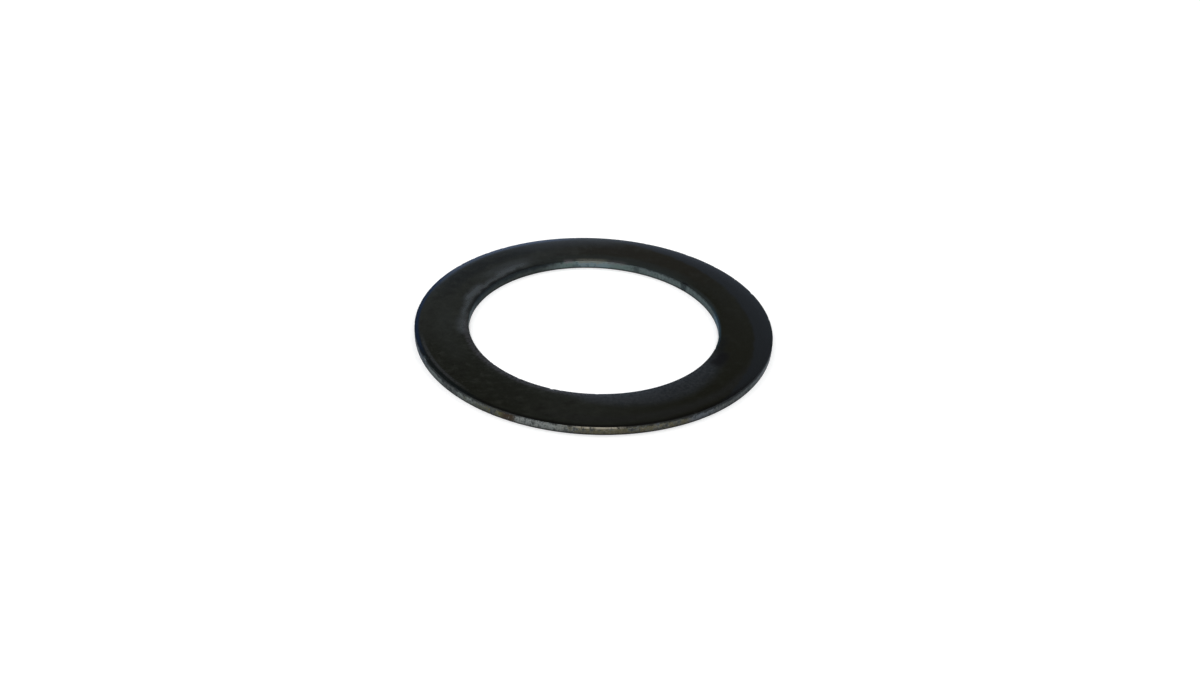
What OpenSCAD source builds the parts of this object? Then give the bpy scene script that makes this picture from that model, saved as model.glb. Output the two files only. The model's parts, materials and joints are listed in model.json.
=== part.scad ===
// Gearbox shim: one flat steel ring, bored and blanked in a single stroke of a compound die.
// It is slid onto a shaft beside a bearing or gear, to take up end play.
// The ring lies flat, as it would on a bench. Z runs up the axis of its bore and Z = 0 is the lower face.
// The stroke rolled both edges of the upper face over, burnished the upper half of each wall and tore the rest.
// Tumbling rounded the corners, and least of all the heels where the torn walls end.

/* [Ring] */
// Outside diameter
outer_d = 40; // [36:0.5:80]
// Bore, which slides over the shaft
bore_d = 28; // [10:0.5:32]
// Thickness of the strip that the ring was punched from
thickness = 1; // [0.8:0.05:3]

/* [Die roll on the upper face] */
// How far the rolled-off margin reaches in from each edge
roll_width = 2.4; // [0.4:0.1:2.7]
// How far the margin has sunk where it meets the edge
roll_depth = 0.08; // [0.02:0.01:0.15]
// Radius of the tumbled corner below the margin
corner_radius = 0.07; // [0.03:0.01:0.15]

/* [Sheared wall] */
// Height of the smooth land that the punch and die burnished
land_height = 0.45; // [0.2:0.05:0.45]
// Lean of the torn wall below the land, in degrees back into the metal
tear_lean = 3; // [1:0.5:12]
// Radius of the corner where the torn wall meets the lower face
heel_radius = 0.03; // [0.01:0.01:0.05]

/* [Smoothness] */
// Straight steps that follow the curve of each rolled-off margin
roll_steps = 9; // [4:1:16]
// Straight steps round each corner
corner_steps = 4; // [2:1:8]

/* [Hidden] */
$fn = 240;

// Heights of the wall, from the upper face down
margin_foot = thickness - roll_depth;
land_top = margin_foot - corner_radius;
land_foot = land_top - land_height;

// How far the torn wall has leant into the metal where the heel begins
tear_reach = (land_foot - heel_radius) * tan(tear_lean);

// Some of the face stays flat between the two margins, however narrow the ring is
margin_width = min(roll_width, 0.45 * (outer_d - bore_d) / 2);

// Every point below is [distance from the wall into the metal, height].

// The margin sinks slowly at first and fastest at the edge, as a cubic does
function roll_point(share) =
    [corner_radius + share * (margin_width - corner_radius),
     thickness - roll_depth * pow(1 - share, 3)];

function rolled_margin() = [for (i = [0 : roll_steps]) roll_point(1 - i / roll_steps)];

function upper_corner() =
    [for (i = [1 : corner_steps])
        let (turn = 90 * i / corner_steps)
        [corner_radius * (1 - sin(turn)), land_top + corner_radius * cos(turn)]];

function lower_corner() =
    [for (i = [0 : corner_steps])
        let (turn = 90 * i / corner_steps)
        [tear_reach + heel_radius * (1 - cos(turn)), heel_radius * (1 - sin(turn))]];

// One whole punched edge, from the upper face down to the lower one
function punched_edge() = concat(rolled_margin(), upper_corner(), [[0, land_foot]], lower_corner());

// The edge stood at a radius: into_metal is 1 where the metal lies outside that radius, and -1 inside it
function edge_at(radius, into_metal) = [for (p = punched_edge()) [radius + into_metal * p[0], p[1]]];

function reversed(points) = [for (i = [len(points) - 1 : -1 : 0]) points[i]];

module section() {
    polygon(concat(edge_at(bore_d / 2, 1), reversed(edge_at(outer_d / 2, -1))));
}

module shim() {
    color([0.13, 0.14, 0.14]) rotate_extrude() section();
}

shim();
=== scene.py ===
"""A gearbox shim on a pale floor: one punched steel ring, dark with oxide and a little worn and rusty."""

import json
import math
import random

import bmesh
import bpy
from mathutils import Matrix, Vector, kdtree, noise


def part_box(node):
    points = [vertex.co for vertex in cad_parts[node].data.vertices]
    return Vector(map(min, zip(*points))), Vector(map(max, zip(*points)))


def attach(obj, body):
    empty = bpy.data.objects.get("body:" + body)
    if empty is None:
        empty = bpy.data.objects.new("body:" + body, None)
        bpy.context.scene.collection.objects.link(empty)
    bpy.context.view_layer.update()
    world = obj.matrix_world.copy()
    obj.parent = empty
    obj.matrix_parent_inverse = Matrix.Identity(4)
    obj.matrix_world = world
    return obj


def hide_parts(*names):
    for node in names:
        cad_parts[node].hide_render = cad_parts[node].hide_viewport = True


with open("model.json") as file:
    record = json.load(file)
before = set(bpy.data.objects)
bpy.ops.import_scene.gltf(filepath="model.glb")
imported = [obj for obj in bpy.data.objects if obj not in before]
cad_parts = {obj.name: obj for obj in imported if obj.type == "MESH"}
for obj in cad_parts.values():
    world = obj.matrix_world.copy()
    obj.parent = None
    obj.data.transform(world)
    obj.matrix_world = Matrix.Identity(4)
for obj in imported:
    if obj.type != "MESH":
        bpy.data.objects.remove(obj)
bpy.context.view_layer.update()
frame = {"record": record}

# ---- The ring's shape ---------------------------------------------------------------------------
# One flat ring of cold-rolled steel strip, bored and blanked in a single stroke of a compound die.
# The stroke rolls both upper edges over, burnishes the top of each wall and tears the rest away.
# Tumbling has rounded the corners a little, and use has left small nicks in them.

MM = 0.001
ring_low, ring_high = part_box("shim")
bore_mount = next(m for m in frame["record"]["mounts"] if m["name"] == "bore")
rim_radius = min(ring_high.x, ring_high.y, -ring_low.x, -ring_low.y)
bore_radius = bore_mount["dims"]["r_mm"] * MM
thickness = ring_high.z

roll_width = 2.4 * MM
roll_depth = 0.08 * MM
roll_power = 3
roll_unevenness = 0.15
roll_waves_per_metre = 60
deepest_roll = 1.1
corner_radius = 0.07 * MM
land_height = 0.45 * MM
heel_radius = 0.03 * MM
tear_lean = math.radians(3)
tear_depth = 0.018 * MM
tear_grain_size = 0.3 * MM
tear_grain_squash = 0.35
tear_fade = 0.1 * MM
heel_fade = 0.05 * MM
wall_step = 0.08 * MM
upper_face_step = 0.2 * MM
lower_face_step = 0.7 * MM
corner_segments = 5
merge_distance = 0.001 * MM
sector_count = 30
steps_in_sector = 30

land_top = thickness - roll_depth - corner_radius
land_foot = land_top - land_height
tear_reach = land_foot * math.tan(tear_lean)


def ring_section():
    """The cross-section in the XZ plane before the roll-over, as a loop of short edges."""
    section = bmesh.new()
    heels = [
        section.verts.new((rim_radius - tear_reach, 0, 0)),
        section.verts.new((bore_radius + tear_reach, 0, 0)),
    ]
    shoulders = [
        section.verts.new((rim_radius, 0, thickness)),
        section.verts.new((bore_radius, 0, thickness)),
    ]
    land_feet = [
        section.verts.new((rim_radius, 0, land_foot)),
        section.verts.new((bore_radius, 0, land_foot)),
    ]
    margins = [
        section.verts.new((rim_radius - roll_width, 0, thickness)),
        section.verts.new((bore_radius + roll_width, 0, thickness)),
    ]
    section.faces.new(
        [heels[0], land_feet[0], shoulders[0], margins[0], margins[1], shoulders[1], land_feet[1], heels[1]]
    )
    for corners, rounding in ((shoulders, corner_radius), (heels, heel_radius)):
        bmesh.ops.bevel(
            section, geom=corners, offset=rounding, offset_type="OFFSET",
            segments=corner_segments, profile=0.5, affect="VERTICES", material=-1,
        )
    for edge in section.edges[:]:
        face_step = upper_face_step if edge.verts[0].co.z > land_foot else lower_face_step
        upright = abs(edge.verts[0].co.x - edge.verts[1].co.x) < edge.calc_length() / 2
        cuts = int(edge.calc_length() / (wall_step if upright else face_step))
        if cuts:
            bmesh.ops.subdivide_edges(section, edges=[edge], cuts=cuts)
    bmesh.ops.delete(section, geom=section.faces[:], context="FACES_ONLY")
    return section


def into_metal(point, radius):
    """How far a point lies from the nearer wall, and the way into the metal there."""
    outward = Vector((point.x, point.y, 0)).normalized()
    if radius > (rim_radius + bore_radius) / 2:
        return rim_radius - radius, -outward
    return radius - bore_radius, outward


# The section is spun through one sector, and the sector is then copied round to close the ring.
ring = ring_section()
sector_turn = 2 * math.pi / sector_count
bmesh.ops.spin(
    ring, geom=ring.verts[:] + ring.edges[:], cent=(0, 0, 0), axis=(0, 0, 1),
    angle=sector_turn, steps=steps_in_sector, use_merge=False, use_duplicate=False,
)
bmesh.ops.spin(
    ring, geom=ring.verts[:] + ring.edges[:] + ring.faces[:], cent=(0, 0, 0), axis=(0, 0, 1),
    angle=sector_turn * (sector_count - 1), steps=sector_count - 1, use_merge=False, use_duplicate=True,
)
bmesh.ops.remove_doubles(ring, verts=ring.verts, dist=merge_distance)

# The die's clearance is never quite even, so the roll-over is a little deeper in some places than in
# others. The torn part of each wall is rough. Its grains run upright, because the pattern is read
# with its height squashed.
for vert in ring.verts:
    point = vert.co.copy()
    radius = math.hypot(point.x, point.y)
    depth, inward = into_metal(point, radius)
    if point.z > land_foot:
        share = max(0, 1 - max(0, depth - corner_radius) / (roll_width - corner_radius))
        lowered = min(1, (point.z - land_foot) / (land_top - land_foot))
        uneven = 1 + roll_unevenness * noise.noise(point * roll_waves_per_metre)
        vert.co.z -= roll_depth * min(uneven, deepest_roll) * share**roll_power * lowered
    elif depth < 2 * tear_reach:
        torn = min(1, (land_foot - point.z) / tear_fade) * min(1, point.z / heel_fade)
        grain = Vector((point.x, point.y, point.z * tear_grain_squash)) / tear_grain_size
        vert.co += inward * torn * tear_depth * noise.noise(grain)

# The nicks along each upper corner. A nick is its place in degrees round the ring, and then its
# height, reach and depth in millimetres. Each is pushed into the metal and downwards.
nick_slant = Vector((0, 0, -0.6))
small_nick_count = 46
small_nick_depth = 0.03
rim_nicks = [
    (-154, 0.80, 0.55, 0.10), (-147, 0.86, 0.30, 0.06), (-143, 0.82, 0.50, 0.05), (-135, 0.85, 0.40, 0.06),
    (-128, 0.83, 0.35, 0.05), (-119, 0.80, 0.30, 0.05), (-113, 0.84, 0.45, 0.06), (-97, 0.86, 0.30, 0.04),
    (-71, 0.84, 0.35, 0.05), (-57, 0.80, 0.40, 0.06), (-38, 0.85, 0.30, 0.05), (24, 0.84, 0.40, 0.05),
]
bore_nicks = [
    (42.5, 0.55, 0.45, 0.12), (70.5, 0.80, 0.35, 0.08), (-107, 0.88, 0.30, 0.07), (108, 0.80, 0.40, 0.05),
]
scatter = random.Random(11)
for _ in range(small_nick_count):
    degrees = scatter.uniform(-180, 180)
    height = scatter.uniform(0.75, 0.9)
    reach = scatter.uniform(0.18, 0.35)
    scatter.choice((rim_nicks, bore_nicks)).append((degrees, height, reach, small_nick_depth))

nearby = kdtree.KDTree(len(ring.verts))
ring.verts.ensure_lookup_table()
for vert in ring.verts:
    nearby.insert(vert.co, vert.index)
nearby.balance()
for nicks, wall_radius in ((rim_nicks, rim_radius), (bore_nicks, bore_radius)):
    for degrees, height, reach, deep in nicks:
        turn = Matrix.Rotation(math.radians(degrees), 3, "Z")
        centre = turn @ Vector((wall_radius, 0, height * MM))
        push = (into_metal(centre, wall_radius)[1] + nick_slant).normalized()
        for _, index, distance in nearby.find_range(centre, reach * MM):
            fade = (1 - (distance / (reach * MM)) ** 2) ** 2
            ring.verts[index].co += push * deep * MM * fade

bmesh.ops.recalc_face_normals(ring, faces=ring.faces)
for face in ring.faces:
    face.smooth = True
ring_mesh = bpy.data.meshes.new("shim_ring")
ring.to_mesh(ring_mesh)
ring.free()
shim_ring = bpy.data.objects.new("shim_ring", ring_mesh)
bpy.context.scene.collection.objects.link(shim_ring)

# ---- The ring's steel ---------------------------------------------------------------------------
# Black oxide covers the whole ring. On the upper face the parts that it was clamped between have
# rubbed it to a cooler grey in crescents along both edges; the rim's crescent is partly a painted
# reflection. The sheared walls are patchy: paler where they rub, darker where oil has stained them,
# and brown with rust in a few places. Highlights, reflections and shade are also painted on the
# margins, the corners and the walls.

steel = bpy.data.materials.new("shim_steel")
steel.use_nodes = True
steel_nodes = steel.node_tree.nodes
steel_links = steel.node_tree.links
steel_shader = steel_nodes["Principled BSDF"]


def feed(socket, value):
    """Links a socket to another node's output, or sets it to a plain value."""
    if isinstance(value, bpy.types.NodeSocket):
        steel_links.new(value, socket)
    else:
        socket.default_value = value


def math_of(operation, *values):
    """One step of arithmetic on sockets or plain numbers."""
    made = steel_nodes.new("ShaderNodeMath")
    made.operation = operation
    for socket, value in zip(made.inputs, values):
        feed(socket, value)
    return made.outputs[0]


def fade_between(value, start, end):
    """0 up to start and 1 from end on, with a smooth step between; end may be the lower one."""
    made = steel_nodes.new("ShaderNodeMapRange")
    made.interpolation_type = "SMOOTHSTEP"
    feed(made.inputs["Value"], value)
    low, high = min(start, end), max(start, end)
    made.inputs["From Min"].default_value = low
    made.inputs["From Max"].default_value = high
    made.inputs["To Min"].default_value = 0 if start < end else 1
    made.inputs["To Max"].default_value = 1 if start < end else 0
    return made.outputs["Result"]


def mixed(share, first, second):
    """The first colour where share is 0, and the second where it is 1."""
    made = steel_nodes.new("ShaderNodeMix")
    made.data_type = "RGBA"
    feed(made.inputs[0], share)
    feed(made.inputs[6], first)
    feed(made.inputs[7], second)
    return made.outputs[2]


def mottle(scale, detail=4, stretch=(1, 1, 1), roughness=0.55):
    """Noise in millimetres: scale is how many grains lie in a millimetre."""
    stretched = steel_nodes.new("ShaderNodeMapping")
    stretched.inputs["Scale"].default_value = stretch
    feed(stretched.inputs["Vector"], place)
    made = steel_nodes.new("ShaderNodeTexNoise")
    feed(made.inputs["Vector"], stretched.outputs["Vector"])
    made.inputs["Scale"].default_value = scale
    made.inputs["Detail"].default_value = detail
    made.inputs["Roughness"].default_value = roughness
    return made.outputs["Fac"]


def colour(red, green, blue):
    """A solid colour for a socket."""
    return (red, green, blue, 1)


steel_place = steel_nodes.new("ShaderNodeTexCoord")
in_millimetres = steel_nodes.new("ShaderNodeMapping")
in_millimetres.inputs["Scale"].default_value = (1 / MM, 1 / MM, 1 / MM)
feed(in_millimetres.inputs["Vector"], steel_place.outputs["Object"])
place = in_millimetres.outputs["Vector"]
split_place = steel_nodes.new("ShaderNodeSeparateXYZ")
feed(split_place.inputs["Vector"], place)
east, north, up = split_place.outputs


def distance_from(x, y):
    """The level distance in millimetres from a point near the axis."""
    square_x = math_of("POWER", math_of("SUBTRACT", east, x), 2)
    square_y = math_of("POWER", math_of("SUBTRACT", north, y), 2)
    return math_of("SQRT", math_of("ADD", square_x, square_y))


out_from_axis = distance_from(0, 0)
from_rim = math_of("SUBTRACT", rim_radius / MM, out_from_axis)
from_bore = math_of("SUBTRACT", out_from_axis, bore_radius / MM)


def arc(centre_degrees, half_width, softness):
    """1 over a stretch of the ring's turn, given in degrees, and 0 elsewhere."""
    angle = math.radians(centre_degrees)
    along = math_of(
        "ADD", math_of("MULTIPLY", east, math.cos(angle)), math_of("MULTIPLY", north, math.sin(angle))
    )
    cosine = math_of("DIVIDE", along, out_from_axis)
    outer = math.cos(math.radians(min(half_width + softness, 180)))
    inner = math.cos(math.radians(max(half_width - softness, 0)))
    return fade_between(cosine, outer, inner)


def where(*masks):
    """1 only where every mask is."""
    share = masks[0]
    for mask in masks[1:]:
        share = math_of("MULTIPLY", share, mask)
    return share


def patch(centre_degrees, half_width, inner, outer, blur):
    """A soft-edged piece of the face, by degrees round it and millimetres out from the axis."""
    wavering = math_of("ADD", out_from_axis, wander)
    return where(
        arc(centre_degrees, half_width, half_width / 2),
        fade_between(wavering, inner - blur, inner + blur),
        fade_between(wavering, outer + blur, outer - blur),
    )


# The oxide on the faces is greener, clouded and speckled on the left, and browner and more even on
# the right. Handling has stained it darker or paler in wide soft patches.
clouds = mottle(0.9, detail=6, roughness=0.7)
specks = mottle(3.2, detail=5, roughness=0.7)
fine = mottle(6, roughness=0.65)
wander = math_of("MULTIPLY", math_of("SUBTRACT", mottle(0.8), 0.5), 0.8)
speckled = math_of("ADD", 0.35, where(fade_between(east, 9, -5), 0.65))
oxide = mixed(fade_between(east, -2, 14), colour(0.056, 0.061, 0.050), colour(0.028, 0.028, 0.014))
for degrees, half_width, inner, outer, blur, strength, tone in (
    (-137, 26, 13.0, 19.4, 0.8, 0.70, colour(0.028, 0.030, 0.018)),
    (137, 24, 17.0, 19.2, 0.6, 0.85, colour(0.026, 0.033, 0.034)),
    (70, 28, 15.4, 18.9, 0.7, 0.85, colour(0.028, 0.020, 0.004)),
    (92, 44, 13.0, 15.3, 0.6, 0.75, colour(0.076, 0.090, 0.088)),
    (-62, 36, 18.2, 19.3, 0.5, 0.70, colour(0.058, 0.060, 0.060)),
):
    stained = where(patch(degrees, half_width, inner, outer, blur), strength)
    oxide = mixed(stained, oxide, tone)
for grains, start, end, strength, tone in (
    (clouds, 0.50, 0.66, 0.55, colour(0.094, 0.100, 0.084)),
    (clouds, 0.48, 0.32, 0.60, colour(0.020, 0.016, 0.014)),
    (specks, 0.54, 0.70, 0.40, colour(0.120, 0.120, 0.112)),
    (specks, 0.46, 0.32, 0.40, colour(0.016, 0.016, 0.014)),
):
    oxide = mixed(where(speckled, fade_between(grains, start, end), strength), oxide, tone)

# A part that sat off centre has rubbed a crescent along the rim and a smaller, pitted one by the
# bore. The rim's crescent also carries a painted bluish reflection. Round them lie a few paler rubs
# and two dark oil spots.
rim_crescent_and_sheen = fade_between(math_of("ADD", distance_from(-3.62, -1.46), wander), 21.2, 21.6)
oxide = mixed(where(rim_crescent_and_sheen, 0.9), oxide, colour(0.043, 0.051, 0.063))
bore_rub = math_of("ADD", distance_from(3.2, -5.1), wander)
bore_patch = where(arc(-60, 37, 8), fade_between(bore_rub, 11.7, 10.0))
bore_tone = mixed(fade_between(specks, 0.34, 0.66), colour(0.042, 0.054, 0.068), colour(0.126, 0.136, 0.152))
oxide = mixed(where(bore_patch, 0.85), oxide, bore_tone)
oxide = mixed(where(patch(-77, 13, 14, 15.9, 0.5), 0.3), oxide, colour(0.150, 0.162, 0.182))
oxide = mixed(where(patch(-166, 16, 15.4, 17.4, 0.8), 0.25), oxide, colour(0.100, 0.112, 0.104))
pitted = where(arc(-62, 36, 8), fade_between(from_bore, 1.3, 0.5), fade_between(specks, 0.50, 0.40))
oxide = mixed(where(pitted, 0.6), oxide, colour(0.020, 0.024, 0.030))
oxide = mixed(where(patch(102, 17, 17.6, 21, 0.9), 0.6), oxide, colour(0.086, 0.096, 0.106))
oxide = mixed(where(patch(-25, 5, 14.6, 15.9, 0.35), 0.9), oxide, colour(0.012, 0.012, 0.015))
oxide = mixed(where(patch(-14, 6, 13.0, 15.0, 0.35), 0.6), oxide, colour(0.012, 0.016, 0.020))

# By the bore on the left a pale band follows the edge in smears, partly a scuff and partly a painted
# sheen, with a dark strip between them and the edge.
scuff_and_sheen = 0
for degrees, half_width, inner, outer, strength in (
    (133, 12, 14.8, 16.5, 0.25),
    (132, 8, 14.6, 15.8, 0.65),
    (136, 6, 14.6, 15.3, 1.0),
    (149, 12, 14.4, 15.0, 0.9),
    (159, 7, 14.6, 15.4, 0.95),
    (171, 10, 14.4, 15.0, 0.8),
    (187, 6, 14.3, 15.2, 0.6),
):
    smear = where(patch(degrees, half_width, inner, outer, 0.55), strength)
    scuff_and_sheen = math_of("MAXIMUM", scuff_and_sheen, smear)
scuff_and_sheen = where(scuff_and_sheen, fade_between(specks, 0.05, 0.45))
oxide = mixed(where(scuff_and_sheen, 0.95), oxide, colour(0.205, 0.228, 0.250))
oxide = mixed(where(patch(143, 27, 13, 14.38, 0.18), 0.75), oxide, colour(0.016, 0.022, 0.030))

# The margins. The rim's is grimed in front. At its left it has a dark band with a scraped line
# inside it, then a painted navy reflection at the far left, and it turns pale and blue towards the back.
# The bore's is worn pale in front; at the back it has a painted teal sheen and a painted cream and rose
# highlight, and it is darker in its deepest nick.
grime = where(arc(-84, 50, 12), fade_between(from_rim, 0.62, 0.30))
oxide = mixed(where(grime, 0.75), oxide, colour(0.012, 0.012, 0.012))
off_scrape = math_of("ABSOLUTE", math_of("SUBTRACT", from_rim, 0.72))
dark_margin = where(arc(-148, 18, 8), fade_between(from_rim, 0.60, 0.45))
oxide = mixed(where(dark_margin, 0.7), oxide, colour(0.008, 0.018, 0.025))
scraped = where(arc(-150, 13, 8), fade_between(off_scrape, 0.26, 0.08), fade_between(specks, 0.30, 0.52))
oxide = mixed(where(scraped, 0.8), oxide, colour(0.130, 0.140, 0.155))
paled = where(arc(131, 28, 10), fade_between(from_rim, 1.0, 0.3), fade_between(specks, 0.24, 0.50))
oxide = mixed(where(paled, 0.85), oxide, colour(0.140, 0.190, 0.290))
# A painted navy reflection on the rim's margin at the far left.
painted_navy_reflection = where(arc(177, 22, 8), fade_between(from_rim, 0.60, 0.30))
oxide = mixed(where(painted_navy_reflection, 0.85), oxide, colour(0.014, 0.050, 0.140))
worn_lip = where(arc(-130, 46, 10), fade_between(from_bore, 0.95, 0.35), fade_between(specks, 0.36, 0.56))
oxide = mixed(where(worn_lip, 0.8), oxide, colour(0.180, 0.172, 0.190))
# A paler teal painted sheen along the back of the bore's margin.
back_lip_sheen = where(arc(62, 48, 10), fade_between(from_bore, 0.70, 0.30))
oxide = mixed(where(back_lip_sheen, 0.7), oxide, colour(0.090, 0.116, 0.120))
# A painted cream highlight on the bore's margin at the back.
bright_lip_highlight = where(arc(92.5, 7, 3), fade_between(from_bore, 0.85, 0.15), fade_between(specks, 0.30, 0.50))
oxide = mixed(bright_lip_highlight, oxide, colour(0.370, 0.366, 0.322))
# Painted rose highlights beside it.
rosy_highlight_places = math_of("MAXIMUM", arc(104, 2, 1), where(arc(80, 4, 2), 0.5))
rosy_lip_highlight = where(rosy_highlight_places, fade_between(from_bore, 0.80, 0.20))
oxide = mixed(where(rosy_lip_highlight, 0.8), oxide, colour(0.310, 0.285, 0.310))
# Darker in the bore's deepest nick.
notch_darkening = where(arc(42.5, 1.6, 1), fade_between(from_bore, 0.55, 0.25))
oxide = mixed(where(notch_darkening, 0.8), oxide, colour(0.014, 0.018, 0.020))
blue_lip = where(arc(2, 17, 6), fade_between(from_bore, 0.30, 0.14))
oxide = mixed(where(blue_lip, 0.8), oxide, colour(0.070, 0.150, 0.210))

# The walls are streaked upright where the blank tore, gritty and blotched with oil. The rim's has
# been scraped pale and stained brown in places, and its paler ends are painted reflection.
streaks = mottle(4, detail=5, stretch=(1, 1, 0.2), roughness=0.65)
blotches = mottle(1.7, detail=5, stretch=(1, 1, 0.7), roughness=0.65)
ragged = math_of("MULTIPLY", math_of("SUBTRACT", blotches, 0.5), 2.0)
nearer_wall = math_of("MINIMUM", from_rim, from_bore)
at_rim = fade_between(out_from_axis, 16.5, 17.5)
at_bore = fade_between(out_from_axis, 17.5, 16.5)
on_wall = fade_between(nearer_wall, 0.12, 0.05)
rim_wall = mixed(fade_between(streaks, 0.32, 0.68), colour(0.048, 0.055, 0.057), colour(0.114, 0.124, 0.120))
grit = mottle(5, roughness=0.7)
mean_grain = math_of("MULTIPLY", math_of("ADD", streaks, grit), 0.5)
pale_streaks = where(arc(-106, 11, 3), fade_between(mean_grain, 0.36, 0.54))
browned = where(arc(-77, 19, 5), fade_between(blotches, 0.38, 0.54))
scraped_places = math_of("MAXIMUM", arc(-146, 4, 2.5), arc(-130, 3, 2))
pale_scrapes = where(scraped_places, fade_between(blotches, 0.38, 0.50))
for places, strength, tone in (
    (pale_streaks, 1.0, colour(0.190, 0.205, 0.200)),
    (browned, 1.0, colour(0.096, 0.088, 0.054)),
    (arc(-55, 4, 2), 0.7, colour(0.090, 0.105, 0.130)),
    # The paler ends, bluish at the left and grey at the right, are painted reflection.
    (arc(-176, 20, 9), 0.8, colour(0.080, 0.110, 0.150)),
    (arc(-22, 12, 6), 0.6, colour(0.125, 0.138, 0.145)),
    (fade_between(specks, 0.55, 0.68), 0.5, colour(0.170, 0.172, 0.155)),
    (fade_between(specks, 0.46, 0.34), 0.6, colour(0.030, 0.032, 0.030)),
    (pale_scrapes, 0.8, colour(0.165, 0.190, 0.180)),
    (fade_between(grit, 0.53, 0.63), 0.4, colour(0.190, 0.195, 0.180)),
    (fade_between(grit, 0.47, 0.37), 0.5, colour(0.030, 0.032, 0.030)),
    (fade_between(blotches, 0.47, 0.37), 0.7, colour(0.026, 0.029, 0.028)),
):
    rim_wall = mixed(where(places, strength), rim_wall, tone)
bore_wall = mixed(fade_between(streaks, 0.3, 0.7), colour(0.066, 0.086, 0.086), colour(0.104, 0.130, 0.130))
for places, strength, tone in (
    # Paler cyan at the back: a painted sheen.
    (arc(91, 17, 5), 0.8, colour(0.094, 0.132, 0.124)),
    (arc(92, 8, 3), 0.9, colour(0.126, 0.170, 0.186)),
    # Darker on the left with painted shade.
    (arc(142, 28, 8), 0.9, colour(0.032, 0.037, 0.034)),
    (arc(4, 8, 4), 0.8, colour(0.070, 0.130, 0.180)),
    (fade_between(blotches, 0.46, 0.36), 0.5, colour(0.030, 0.038, 0.040)),
    # Darker at the wall's two nicks.
    (arc(42.5, 1.5, 1), 0.85, colour(0.024, 0.032, 0.034)),
    (arc(70, 0.9, 1), 0.5, colour(0.024, 0.032, 0.034)),
):
    bore_wall = mixed(where(places, strength), bore_wall, tone)
bare = mixed(at_bore, rim_wall, bore_wall)
bare = mixed(where(fade_between(clouds, 0.56, 0.64), 0.3), bare, colour(0.100, 0.108, 0.135))
surface = mixed(on_wall, oxide, bare)

# Rust has broken out on the rim in ragged patches. From left to right they are olive, yellow and
# brown.
ragged_rust = math_of("ADD", specks, ragged)
olive_rust = where(at_rim, on_wall, arc(-127, 5, 2), fade_between(ragged_rust, 0.45, 0.70), 0.7)
yellow_rust = where(at_rim, on_wall, arc(-119, 3, 1.5), fade_between(ragged_rust, 0.30, 0.55))
brown_rust = where(at_rim, on_wall, arc(-114.5, 1.8, 1), fade_between(ragged_rust, 0.25, 0.45))
rust = math_of("MAXIMUM", math_of("MAXIMUM", olive_rust, yellow_rust), brown_rust)
surface = mixed(olive_rust, surface, colour(0.064, 0.066, 0.036))
surface = mixed(yellow_rust, surface, colour(0.076, 0.070, 0.026))
surface = mixed(brown_rust, surface, colour(0.034, 0.021, 0.008))

# The oxide comes over the upper corner of each wall, unevenly along the rim. The bore's wall is
# darkened on the left with painted shade, and its corner has a painted cream and rose highlight at the
# back. Painted shade darkens the lower rim wall and the foot of each wall.
lip = math_of("ADD", up, math_of("MULTIPLY", ragged, 0.6))
well_covered = where(at_rim, math_of("MAXIMUM", arc(-142, 13, 6), arc(-45, 20, 8)), 0.10)
barely_covered = where(at_rim, arc(-98, 12, 5), 0.12)
covering = math_of("SUBTRACT", math_of("ADD", lip, well_covered), barely_covered)
lip_oxide = where(on_wall, fade_between(covering, 0.74, 0.92), math_of("SUBTRACT", 1, where(at_bore, 0.25)))
surface = mixed(where(lip_oxide, 0.9), surface, colour(0.020, 0.022, 0.023))
# Painted shade on the left of the bore's wall.
left_bore_shade = where(at_bore, on_wall, arc(140, 27, 8), fade_between(lip, 0.45, 0.70))
surface = mixed(where(left_bore_shade, 0.8), surface, colour(0.014, 0.019, 0.022))
# A painted cream highlight on the bore's upper corner at the back.
bore_corner_highlight = where(at_bore, on_wall, arc(92.5, 7, 3), fade_between(lip, 0.58, 0.78))
surface = mixed(where(bore_corner_highlight, 0.8), surface, colour(0.146, 0.154, 0.136))
# Painted rose highlights on the corner beside it.
rosy_corner_highlight = where(at_bore, on_wall, rosy_highlight_places, fade_between(lip, 0.62, 0.80))
surface = mixed(where(rosy_corner_highlight, 0.7), surface, colour(0.132, 0.128, 0.132))
# Painted shade darkens the lower part of the rim's wall.
lower_wall_shade = where(at_rim, on_wall, fade_between(up, 0.60, 0.30), 0.22)
surface = mixed(lower_wall_shade, surface, colour(0.016, 0.016, 0.016))
# Painted shade along the foot of each wall, where the ring meets the floor.
foot_shade = where(on_wall, fade_between(up, 0.22, 0.05))
surface = mixed(foot_shade, surface, colour(0.016, 0.016, 0.016))

# A painted highlight lies along the rim's upper corner in front.
corner_height = 0.84
highlight_band = fade_between(math_of("ABSOLUTE", math_of("SUBTRACT", up, corner_height)), 0.15, 0.06)
rim_highlight_place = where(at_rim, arc(-87, 6, 3), 0.9)
painted_highlight = where(on_wall, highlight_band, rim_highlight_place, fade_between(streaks, 0.35, 0.55))
surface = mixed(painted_highlight, surface, colour(0.290, 0.265, 0.210))

feed(steel_shader.inputs["Base Color"], surface)
feed(steel_shader.inputs["Metallic"], math_of("SUBTRACT", 1, where(rust, 0.8)))
roughness = 0.22
for places, rougher_by in ((on_wall, 0.22), (scuff_and_sheen, 0.10), (rust, 0.3)):
    roughness = math_of("ADD", roughness, where(places, rougher_by))
feed(steel_shader.inputs["Roughness"], roughness)
feed(steel_shader.inputs["Specular Tint"], mixed(on_wall, colour(1, 1, 1), colour(0.50, 0.52, 0.55)))

# Relief in millimetres: the skin of the oxide all over, and the drag marks on the walls.
skin_relief = where(fine, 0.004)
wall_relief = where(on_wall, streaks, 0.03)
skin_bump = steel_nodes.new("ShaderNodeBump")
skin_bump.inputs["Distance"].default_value = MM
skin_bump.inputs["Strength"].default_value = 0.6
feed(skin_bump.inputs["Height"], math_of("ADD", skin_relief, wall_relief))
feed(steel_shader.inputs["Normal"], skin_bump.outputs["Normal"])

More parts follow.
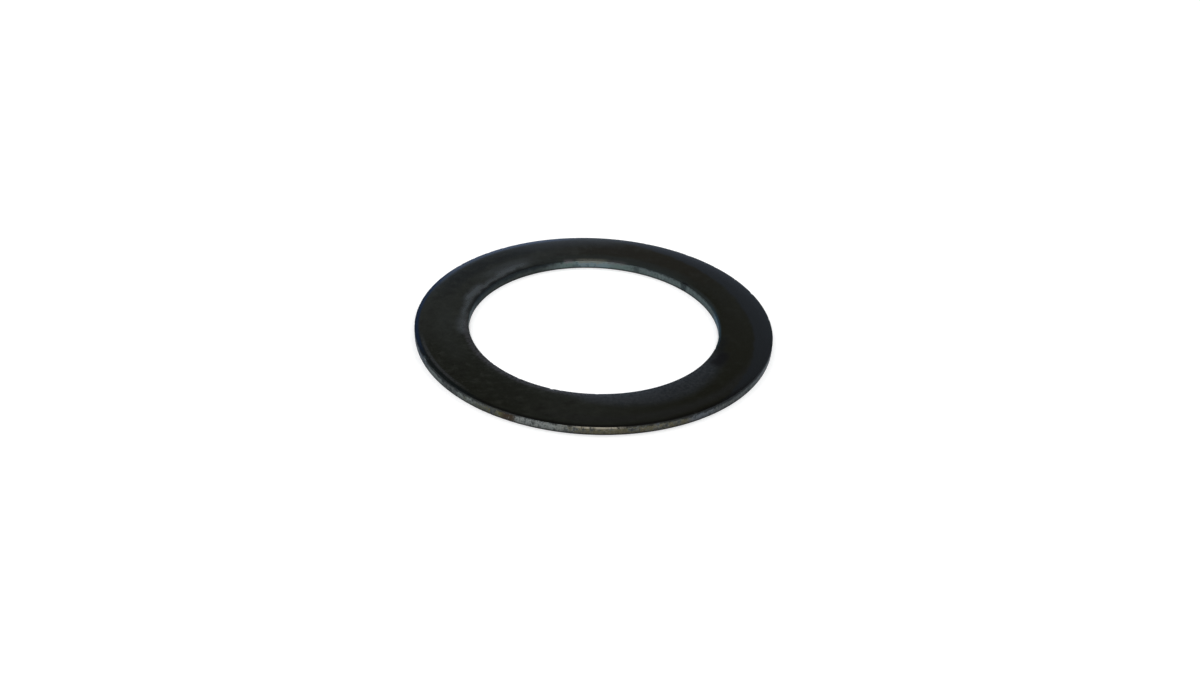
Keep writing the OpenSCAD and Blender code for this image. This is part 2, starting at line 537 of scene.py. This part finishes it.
shim_ring.data.materials.append(steel)
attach(shim_ring, "root")
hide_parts("shim")

# ---- The floor ----------------------------------------------------------------------------------
# A flat sheet of white matt board, much larger than the ring, set a hair's gap below it, the gap
# under a ring that is not quite flat.

floor_span = 8
floor_drop = 0.04 * MM
board = bmesh.new()
bmesh.ops.create_grid(board, x_segments=1, y_segments=1, size=floor_span / 2)
bmesh.ops.translate(board, verts=board.verts, vec=(0, 0, -floor_drop))
board_mesh = bpy.data.meshes.new("floor")
board.to_mesh(board_mesh)
board.free()
floor = bpy.data.objects.new("floor", board_mesh)
bpy.context.scene.collection.objects.link(floor)

white_board = bpy.data.materials.new("white_board")
white_board.use_nodes = True
board_nodes = white_board.node_tree.nodes
board_links = white_board.node_tree.links
board_shader = board_nodes["Principled BSDF"]
board_shader.inputs["Base Color"].default_value = (0.92, 0.92, 0.92, 1)
board_shader.inputs["Roughness"].default_value = 0.9
board_shader.inputs["Specular IOR Level"].default_value = 0
board_shader.inputs["Emission Color"].default_value = (1, 1, 1, 1)
board_rays = board_nodes.new("ShaderNodeLightPath")
board_seen = board_rays.outputs["Is Camera Ray"]
for ray in ("Is Glossy Ray", "Is Transmission Ray"):
    either = board_nodes.new("ShaderNodeMath")
    either.operation = "MAXIMUM"
    board_links.new(board_seen, either.inputs[0])
    board_links.new(board_rays.outputs[ray], either.inputs[1])
    board_seen = either.outputs[0]
glow = board_nodes.new("ShaderNodeMath")
glow.operation = "MULTIPLY"
board_links.new(board_seen, glow.inputs[0])
glow.inputs[1].default_value = 0.20
board_links.new(glow.outputs[0], board_shader.inputs["Emission Strength"])
floor.data.materials.append(white_board)

# ---- The light ----------------------------------------------------------------------------------
# A broad soft key light above the front, a fill from each side, and a room that is pale low down
# and dim overhead.

room = bpy.data.worlds.new("room")
bpy.context.scene.world = room
room.use_nodes = True
room_nodes = room.node_tree.nodes
room_links = room.node_tree.links
room_way = room_nodes.new("ShaderNodeTexCoord")
room_split = room_nodes.new("ShaderNodeSeparateXYZ")
room_links.new(room_way.outputs["Generated"], room_split.inputs["Vector"])
room_tone = room_nodes.new("ShaderNodeValToRGB")
room_links.new(room_split.outputs["Z"], room_tone.inputs["Fac"])
room_ramp = room_tone.color_ramp
room_ramp.elements[0].position = 0.05
room_ramp.elements[0].color = (0.88, 0.92, 1.00, 1)
room_ramp.elements[1].position = 0.58
room_ramp.elements[1].color = (0.160, 0.160, 0.148, 1)
for height, tone in (
    (0.24, (0.45, 0.51, 0.62, 1)),
    (0.40, (0.268, 0.303, 0.356, 1)),
    (0.48, (0.190, 0.195, 0.194, 1)),
):
    room_ramp.elements.new(height).color = tone
room_links.new(room_tone.outputs["Color"], room_nodes["Background"].inputs["Color"])


def add_sun(name, azimuth, elevation, strength, spread):
    """A soft light far away. Azimuth 0 is behind the camera, and a positive one is to its right."""
    data = bpy.data.lights.new(name, "SUN")
    data.energy = strength
    data.angle = math.radians(spread)
    sun = bpy.data.objects.new(name, data)
    bpy.context.scene.collection.objects.link(sun)
    sun.rotation_euler = (math.radians(90 - elevation), 0, math.radians(azimuth))


add_sun("key", azimuth=0, elevation=58, strength=1.6, spread=24)
add_sun("fill_left", azimuth=-115, elevation=50, strength=0.8, spread=50)
add_sun("fill_right", azimuth=120, elevation=50, strength=0.8, spread=50)

# ---- The camera ---------------------------------------------------------------------------------
# It stands close in front of the ring and looks down on it at about 32 degrees. It is aimed a little
# to the front right of the ring's middle, and turned slightly on its own axis.

camera_data = bpy.data.cameras.new("camera")
camera_data.sensor_width = 36
camera_data.lens = 42.12
camera_data.clip_start = 0.005
camera = bpy.data.objects.new("camera", camera_data)
bpy.context.scene.collection.objects.link(camera)
camera_distance = 157.84 * MM
camera_elevation = math.radians(31.987)
camera_roll = math.radians(2.784)
camera_aim = Vector((0.720, -1.528, 0)) * MM
camera.location = Vector((0, -math.cos(camera_elevation), math.sin(camera_elevation))) * camera_distance
look = (camera_aim - camera.location).to_track_quat("-Z", "Y").to_matrix()
camera.rotation_euler = (look @ Matrix.Rotation(camera_roll, 3, "Z")).to_euler()
bpy.context.scene.camera = camera

bpy.context.scene.view_settings.view_transform = "Standard"
